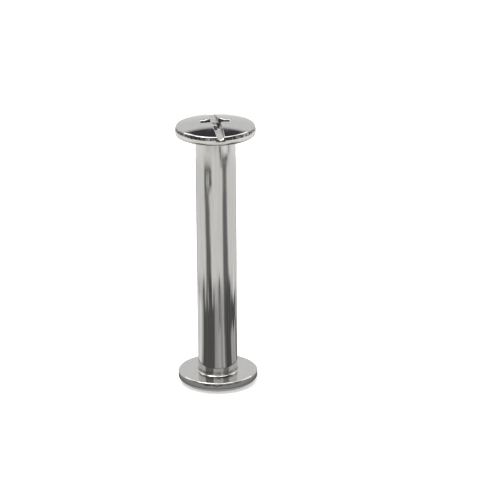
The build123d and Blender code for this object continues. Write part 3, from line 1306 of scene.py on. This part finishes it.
# What the metal sees round the part, nearest first, laid out one by one. Starts and blends are
# in millimetres, bearings and half widths in degrees, and levels are linear greys.
RINGS = (
    Ring("by the foot", 0, 1, 0.46, streaked=True, cards=(
        Card(-120, 22, 0.82, 10), Card(-48, 31, 0.1, 9), Card(60, 16, 0.1, 9),
        Card(130, 4, 0.14), Card(170, 8, 0.15, 12))),
    Ring("beside the foot", 30, 5, 0.46, ragged=True, streaked=True, cards=(
        Card(-120, 22, 0.84, 10), Card(-48, 31, 0.1, 9), Card(13, 3, 0.24, 6),
        Card(81, 39, 0.1, 8), Card(170, 8, 0.15, 12))),
    Ring("flames", 46, 9, 0.6, ragged=True, streaked=True, cards=(
        Card(-80, 3, 0.1), Card(-58, 7, 0.24, 5), Card(-38, 8, 0.07, 5),
        Card(-17, 1.5, 0.13, 5), Card(13, 3, 0.16, 6), Card(61, 19, 0.11, 9),
        Card(111, 5, 0.9))),
    Ring("middle of the tube", 56, 13, 0.77, ragged=True, cards=(
        Card(-157, 4, 0.25), Card(-46.5, 9.5, 0.15, 11), Card(52, 10.5, 0.16, 11),
        Card(161, 6, 0.2))),
    Ring("upper middle", 78, 24, 0.77, cards=(
        Card(-157, 4, 0.27), Card(-51, 8.5, 0.18, 12), Card(50, 8.5, 0.17, 11),
        Card(161, 6, 0.25))),
    Ring("under the loop", 108, 12, 0.77, cards=(
        Card(-157, 4, 0.28), Card(-55, 7.5, 0.2, 12), Card(50, 8, 0.18, 11),
        Card(161, 6, 0.28))),
    Ring("foot of the loop", 122, 2.5, 0.77, cards=(
        Card(-157, 4, 0.3), Card(-58, 5, 0.12, 10), Card(-43, 5, 0.2, 5),
        Card(50, 6, 0.2, 12), Card(161, 6, 0.3))),
    Ring("loop", 126, 3, 0.77, cards=(
        Card(-157, 4, 0.3), Card(-60.5, 3.5, 0.17, 11), Card(-47.6, 4.5, 0.46, 3),
        Card(-32, 5, 0.09, 6), Card(50, 6, 0.2, 12), Card(161, 6, 0.3))),
    Ring("end of the loop", 134.5, 5, 0.77, cards=(
        Card(-157, 4, 0.3), Card(-47, 14, 0.13, 13), Card(50, 6, 0.2, 12), Card(161, 6, 0.3))),
    Ring("single band", 141, 6, 0.78, cards=(
        Card(-120, 30, 0.84, 12), Card(-52, 10, 0.68, 14), Card(48, 13, 0.18, 11))),
    Ring("foot of the fork", 144.5, 3, 0.77, cards=(
        Card(-120, 30, 0.85, 12), Card(49, 20, 0.03, 7), Card(130, 30, 0.84, 12))),
    Ring("fork", 151, 1.5, 0.77, cards=(
        Card(-130, 60, 0.86, 12), Card(24.5, 3, 0.16, 6), Card(56, 9, 1.02, 9),
        Card(80, 2, 0.42, 6), Card(130, 30, 0.88, 12))),
    # The darker card in front gives the tube a painted shade line just under the head.
    Ring("under the head", 156.3, 1.5, 0.77, cards=(
        Card(-130, 50, 0.86, 12), Card(-22, 30, 0.5, 8), Card(24.5, 3, 0.16, 6),
        Card(56, 9, 1.02, 9), Card(80, 2, 0.42, 6), Card(130, 30, 0.88, 12))),
    Ring("over the fork", 159.5, 2, 0.8, cards=(
        Card(-130, 60, 0.9, 12), Card(8, 14, 0.6, 8), Card(54, 13, 0.5, 8),
        Card(130, 30, 0.92, 12))),
    Ring("rim", 167, 3, 0.98, cards=(
        Card(-60, 20, 0.94, 12), Card(60, 20, 1.06, 12))),
)
STANDING = Ring("standing in front", 0, 1, 0.7, cards=(
    Card(-50, 22, 0.2, 12), Card(4, 17, 0.6, 10), Card(50, 14, 0.27, 10)))
LIGHTS = Ring("lights beside the part", 0, 1, 0.0, cards=(
    Card(-138, 20, 1.0, 8), Card(138, 20, 1.0, 8)))


GAP = (0.05, 0.05, 0.06, 1.0)  # the dark gap under the ceiling's light, faintly blue


def at(degrees: float) -> float:
    """Place of a height angle on a ramp from straight down, 0, to straight up, 1."""
    return degrees / 180 + 0.5


@dataclass
class Studio:
    """Plain pale floor, soft light from a white room, dark cards for the metal to show.

    Angles are in degrees. Distances, places and the sizes of floor and lamp are in metres,
    the lens, the sensor and the card's sizes in millimetres, and the lamp's power in watts.
    Light levels are strengths, where 1 is white.
    """

    azimuth: float = -8.2
    elevation: float = 19.917
    roll: float = -0.453
    distance: float = 0.6
    lens: float = 225.0
    sensor: float = 36.0
    aim_side: float = 0.004692
    aim_height: float = 0.030003
    floor_half: float = 1.4
    floor_lift: float = 0.42
    card_inner: float = 6.95
    card_outer: float = 1350.0
    card_height: float = 0.15
    card_columns: int = 96
    wander: float = 36.0
    side_light: float = 2.2
    ceiling_light: float = 1.9
    lamp_size: float = 0.5
    lamp_power: float = 2.0
    lamp_place: tuple[float, float, float] = (-0.35, -0.1, 0.8)

    def camera(self) -> bpy.types.Object:
        """Sets up the camera.

        It stands back from its aim along (sin a cos e, -cos a cos e, sin e), for azimuth
        a and elevation e, and is rolled slightly about its own axis.

        Returns:
            The scene's camera.
        """
        a, e = math.radians(self.azimuth), math.radians(self.elevation)
        back = Vector((math.sin(a) * math.cos(e), -math.cos(a) * math.cos(e), math.sin(e)))
        right = (-back).cross(Vector((0, 0, 1))).normalized()
        up = right.cross(-back)
        turn = math.radians(self.roll)
        side = right * math.cos(turn) + up * math.sin(turn)
        head = up * math.cos(turn) - right * math.sin(turn)
        aim = right * self.aim_side + Vector((0, 0, self.aim_height))
        data = bpy.data.cameras.new("camera")
        data.lens, data.sensor_width = self.lens, self.sensor
        data.clip_start, data.clip_end = 0.05, 10.0
        camera = bpy.data.objects.new("camera", data)
        camera.matrix_world = Matrix.Translation(aim + back * self.distance) @ Matrix(
            (side, head, back)
        ).transposed().to_4x4()
        bpy.context.scene.collection.objects.link(camera)
        bpy.context.scene.camera = camera
        return camera

    def floor(self) -> bpy.types.Object:
        """Lays the pale floor that keeps the part's shadow."""
        h = self.floor_half
        mesh = bpy.data.meshes.new("floor")
        mesh.from_pydata([(-h, -h, 0), (h, -h, 0), (h, h, 0), (-h, h, 0)], [], [(0, 1, 2, 3)])
        floor = bpy.data.objects.new("floor", mesh)
        bpy.context.scene.collection.objects.link(floor)
        material = bpy.data.materials.new("matt_white_paper")
        tree = empty_tree(material)
        path = add_node(tree, "ShaderNodeLightPath").outputs
        seen = add_node(
            tree, "ShaderNodeMath", {"operation": "MAXIMUM"},
            {0: path["Is Camera Ray"], 1: path["Is Glossy Ray"]},
        ).outputs[0]
        seen = add_node(
            tree, "ShaderNodeMath", {"operation": "MAXIMUM"},
            {0: seen, 1: path["Is Transmission Ray"]},
        ).outputs[0]
        lift = add_node(
            tree, "ShaderNodeMath", {"operation": "MULTIPLY"}, {0: seen, 1: self.floor_lift}
        ).outputs[0]
        paper = add_node(
            tree, "ShaderNodeBsdfDiffuse", inputs={"Color": linear("#F2F2F1")}
        ).outputs[0]
        glow = add_node(
            tree, "ShaderNodeEmission", inputs={"Color": grey(1.0), "Strength": lift}
        ).outputs[0]
        both = add_node(tree, "ShaderNodeAddShader", inputs={0: paper, 1: glow}).outputs[0]
        add_node(tree, "ShaderNodeOutputMaterial", inputs={"Surface": both})
        mesh.materials.append(material)
        return floor

    def sky(self) -> None:
        """Sets the room: white to the camera, and a soft studio to the metal.

        The level depends on the height angle of a direction. All round there is a bright
        ring of soft light from 62 to 84 degrees and a dark gap below it, which a soft light
        fills on either side. Under the gap a pale wall stands behind and beside the part, and
        grey cards stand in front.
        """
        world = bpy.data.worlds.new("white_room")
        bpy.context.scene.world = world
        tree = empty_tree(world)
        way = add_node(tree, "ShaderNodeTexCoord").outputs["Generated"]
        parts = add_node(tree, "ShaderNodeSeparateXYZ", inputs={0: way}).outputs
        angle = add_node(
            tree, "ShaderNodeMath", {"operation": "ARCSINE"}, {0: parts["Z"]}
        ).outputs[0]
        share = add_node(
            tree, "ShaderNodeMath", {"operation": "MULTIPLY_ADD"},
            {0: angle, 1: 1 / math.pi, 2: 0.5},
        ).outputs[0]

        wall = add_node(
            tree, "ShaderNodeValToRGB",
            {"stops": [
                (at(-4), grey(0.8)), (at(4), (0.72, 0.725, 0.73, 1.0)),
                (at(20), (0.7, 0.705, 0.715, 1.0)), (at(31), grey(0.74)),
                (at(34), grey(0.5)), (at(36.5), GAP), (at(62), (0.035, 0.035, 0.05, 1.0)),
                (at(66), grey(1.0))]},
            {"Fac": share},
        ).outputs["Color"]
        around = turn_share(tree, parts)
        cards = add_node(
            tree, "ShaderNodeValToRGB", {"stops": STANDING.stops(self.azimuth - 90)},
            {"Fac": around},
        ).outputs["Color"]
        over = add_node(
            tree, "ShaderNodeMapRange", {"interpolation_type": "SMOOTHSTEP"},
            {"Value": share, "From Min": at(30), "From Max": at(36)},
        ).outputs["Result"]
        gap = add_node(
            tree, "ShaderNodeValToRGB", {"stops": [(at(61), GAP), (at(65), grey(1.0))]},
            {"Fac": share},
        ).outputs["Color"]
        dim = add_node(
            tree, "ShaderNodeMix", {"data_type": "RGBA"}, {"Factor": over, 6: cards, 7: gap}
        ).outputs[2]

        a = math.radians(self.azimuth)
        toward = add_node(
            tree, "ShaderNodeVectorMath", {"operation": "DOT_PRODUCT"},
            {0: way, 1: (math.sin(a), -math.cos(a), 0.0)},
        ).outputs["Value"]
        front = add_node(
            tree, "ShaderNodeMapRange", {"interpolation_type": "SMOOTHSTEP"},
            {"Value": toward, "From Min": 0.0, "From Max": 0.3},
        ).outputs["Result"]
        room = add_node(
            tree, "ShaderNodeMix", {"data_type": "RGBA"}, {"Factor": front, 6: wall, 7: dim}
        ).outputs[2]
        band = add_node(
            tree, "ShaderNodeValToRGB",
            {"stops": [(at(35), grey(0.0)), (at(38), grey(1.0)), (at(62), grey(1.0)),
                       (at(66), grey(0.0))]},
            {"Fac": share},
        ).outputs["Color"]
        beside = add_node(
            tree, "ShaderNodeValToRGB", {"stops": LIGHTS.stops(self.azimuth - 90)},
            {"Fac": around},
        ).outputs["Color"]
        box = add_node(
            tree, "ShaderNodeMath", {"operation": "MULTIPLY"}, {0: band, 1: beside}
        ).outputs[0]
        room = add_node(
            tree, "ShaderNodeMix", {"data_type": "RGBA"},
            {"Factor": box, 6: room, 7: grey(self.side_light)},
        ).outputs[2]
        bright = add_node(
            tree, "ShaderNodeValToRGB",
            {"stops": [(at(62), grey(0.0)), (at(67), grey(1.0)), (at(82), grey(1.0)),
                       (at(86), grey(0.0))]},
            {"Fac": share},
        ).outputs["Color"]
        strength = add_node(
            tree, "ShaderNodeMath", {"operation": "MULTIPLY_ADD"},
            {0: bright, 1: self.ceiling_light, 2: 1.0},
        ).outputs[0]
        lit = add_node(
            tree, "ShaderNodeBackground", inputs={"Color": room, "Strength": strength}
        ).outputs[0]
        white = add_node(
            tree, "ShaderNodeBackground", inputs={"Color": grey(1.0), "Strength": 1.0}
        ).outputs[0]
        camera_ray = add_node(tree, "ShaderNodeLightPath").outputs["Is Camera Ray"]
        mixed = add_node(
            tree, "ShaderNodeMixShader", inputs={0: camera_ray, 1: lit, 2: white}
        ).outputs[0]
        add_node(tree, "ShaderNodeOutputWorld", inputs={"Surface": mixed})

    def card(self) -> bpy.types.Object:
        """Lays the ring of grey card round the part, which only the metal sees.

        Its level depends on the angle round the part, by one ramp for each ring of cards.
        The borders of the inner rings wander in and out with a noise of the angle, and
        their levels are streaked by a finer one, so that the tube shows dark flames at its
        foot.

        Returns:
            The card, a flat ring just above the floor.
        """
        high = self.card_height
        profile = np.array([(self.card_inner, high), (self.card_outer, high)])
        card = make_piece("grey_card", [turned(profile, full_turn(self.card_columns))[::-1]])
        for ray in ("camera", "diffuse", "transmission", "volume_scatter", "shadow"):
            setattr(card, "visible_" + ray, False)
        material = bpy.data.materials.new("grey_card")
        tree = empty_tree(material)
        place = add_node(tree, "ShaderNodeTexCoord").outputs["Object"]
        parts = add_node(tree, "ShaderNodeSeparateXYZ", inputs={0: place}).outputs
        share = turn_share(tree, parts)
        radius = add_node(
            tree, "ShaderNodeVectorMath", {"operation": "LENGTH"}, {0: place}
        ).outputs["Value"]
        bearing = add_node(
            tree, "ShaderNodeVectorMath", {"operation": "NORMALIZE"}, {0: place}
        ).outputs["Vector"]
        flames = add_node(
            tree, "ShaderNodeTexNoise",
            inputs={"Vector": bearing, "Scale": 5.0, "Detail": 3.0},
        ).outputs["Fac"]
        wander = add_node(
            tree, "ShaderNodeMath", {"operation": "MULTIPLY_ADD"},
            {0: flames, 1: self.wander * MM, 2: -self.wander / 2 * MM},
        ).outputs[0]
        ragged = add_node(
            tree, "ShaderNodeMath", {"operation": "ADD"}, {0: radius, 1: wander}
        ).outputs[0]
        streaks = add_node(
            tree, "ShaderNodeTexNoise",
            inputs={"Vector": bearing, "Scale": 16.0, "Detail": 2.0},
        ).outputs["Fac"]
        streaked = add_node(
            tree, "ShaderNodeValToRGB", {"stops": [(0.3, grey(0.65)), (0.7, grey(1.35))]},
            {"Fac": streaks},
        ).outputs["Color"]
        level = None
        for ring in RINGS:
            ramp = add_node(
                tree, "ShaderNodeValToRGB", {"stops": ring.stops(self.azimuth - 90)},
                {"Fac": share},
            ).outputs["Color"]
            if ring.streaked:
                ramp = add_node(
                    tree, "ShaderNodeMix", {"data_type": "RGBA", "blend_type": "MULTIPLY"},
                    {"Factor": 1.0, 6: ramp, 7: streaked},
                ).outputs[2]
            step = add_node(
                tree, "ShaderNodeMapRange", {"interpolation_type": "SMOOTHSTEP"},
                {"Value": ragged if ring.ragged else radius, "From Min": ring.start * MM,
                 "From Max": (ring.start + ring.blend) * MM},
            ).outputs["Result"]
            level = ramp if level is None else add_node(
                tree, "ShaderNodeMix", {"data_type": "RGBA"}, {"Factor": step, 6: level, 7: ramp}
            ).outputs[2]
        # The last centimetre before the bevel, which shows it as dark and grey bands. The
        # darkest band, next to the bevel, is a painted contact shadow.
        close = add_node(
            tree, "ShaderNodeMapRange",
            inputs={"Value": radius, "From Min": 6.9 * MM, "From Max": 16.9 * MM},
        ).outputs["Result"]
        bands = ((0.0, 0.04), (0.02, 0.04), (0.04, 0.42), (0.1, 0.42), (0.14, 0.05),
                 (0.4, 0.3), (0.5, 0.3), (0.56, 0.06), (0.7, 0.06), (0.9, 0.12))
        foot = add_node(
            tree, "ShaderNodeValToRGB",
            {"stops": [(spot, grey(shade)) for spot, shade in bands]}, {"Fac": close},
        ).outputs["Color"]
        outside = add_node(
            tree, "ShaderNodeMapRange", {"interpolation_type": "SMOOTHSTEP"},
            {"Value": radius, "From Min": 12.9 * MM, "From Max": 13.4 * MM},
        ).outputs["Result"]
        level = add_node(
            tree, "ShaderNodeMix", {"data_type": "RGBA"}, {"Factor": outside, 6: foot, 7: level}
        ).outputs[2]
        glow = add_node(
            tree, "ShaderNodeEmission", inputs={"Color": level, "Strength": 1.0}
        ).outputs[0]
        add_node(tree, "ShaderNodeOutputMaterial", inputs={"Surface": glow})
        card.data.materials.append(material)
        return card

    def lamp(self) -> bpy.types.Object:
        """Hangs one large soft lamp high on the left, which gives the soft shadow."""
        data = bpy.data.lights.new("soft_lamp", "AREA")
        data.shape, data.size, data.energy = "DISK", self.lamp_size, self.lamp_power
        lamp = bpy.data.objects.new("soft_lamp", data)
        spot = Vector(self.lamp_place)
        lamp.location = spot
        lamp.rotation_euler = spot.to_track_quat("Z", "Y").to_euler()
        bpy.context.scene.collection.objects.link(lamp)
        return lamp

    def build(self) -> None:
        """Builds the whole stage."""
        self.camera()
        self.floor()
        self.card()
        self.sky()
        self.lamp()
        bpy.context.scene.view_settings.view_transform = "Standard"
        log.info("studio: camera, floor, card, room and lamp")


# ---------------------------------------------------------------- the model


def main() -> None:
    """Builds the pieces and the studio in order, and notes the sizes."""
    logging.basicConfig(level=logging.INFO, format="%(name)s: %(message)s")
    Barrel().build()
    Screw().build()
    Studio().build()


if __name__ == "__main__":
    main()
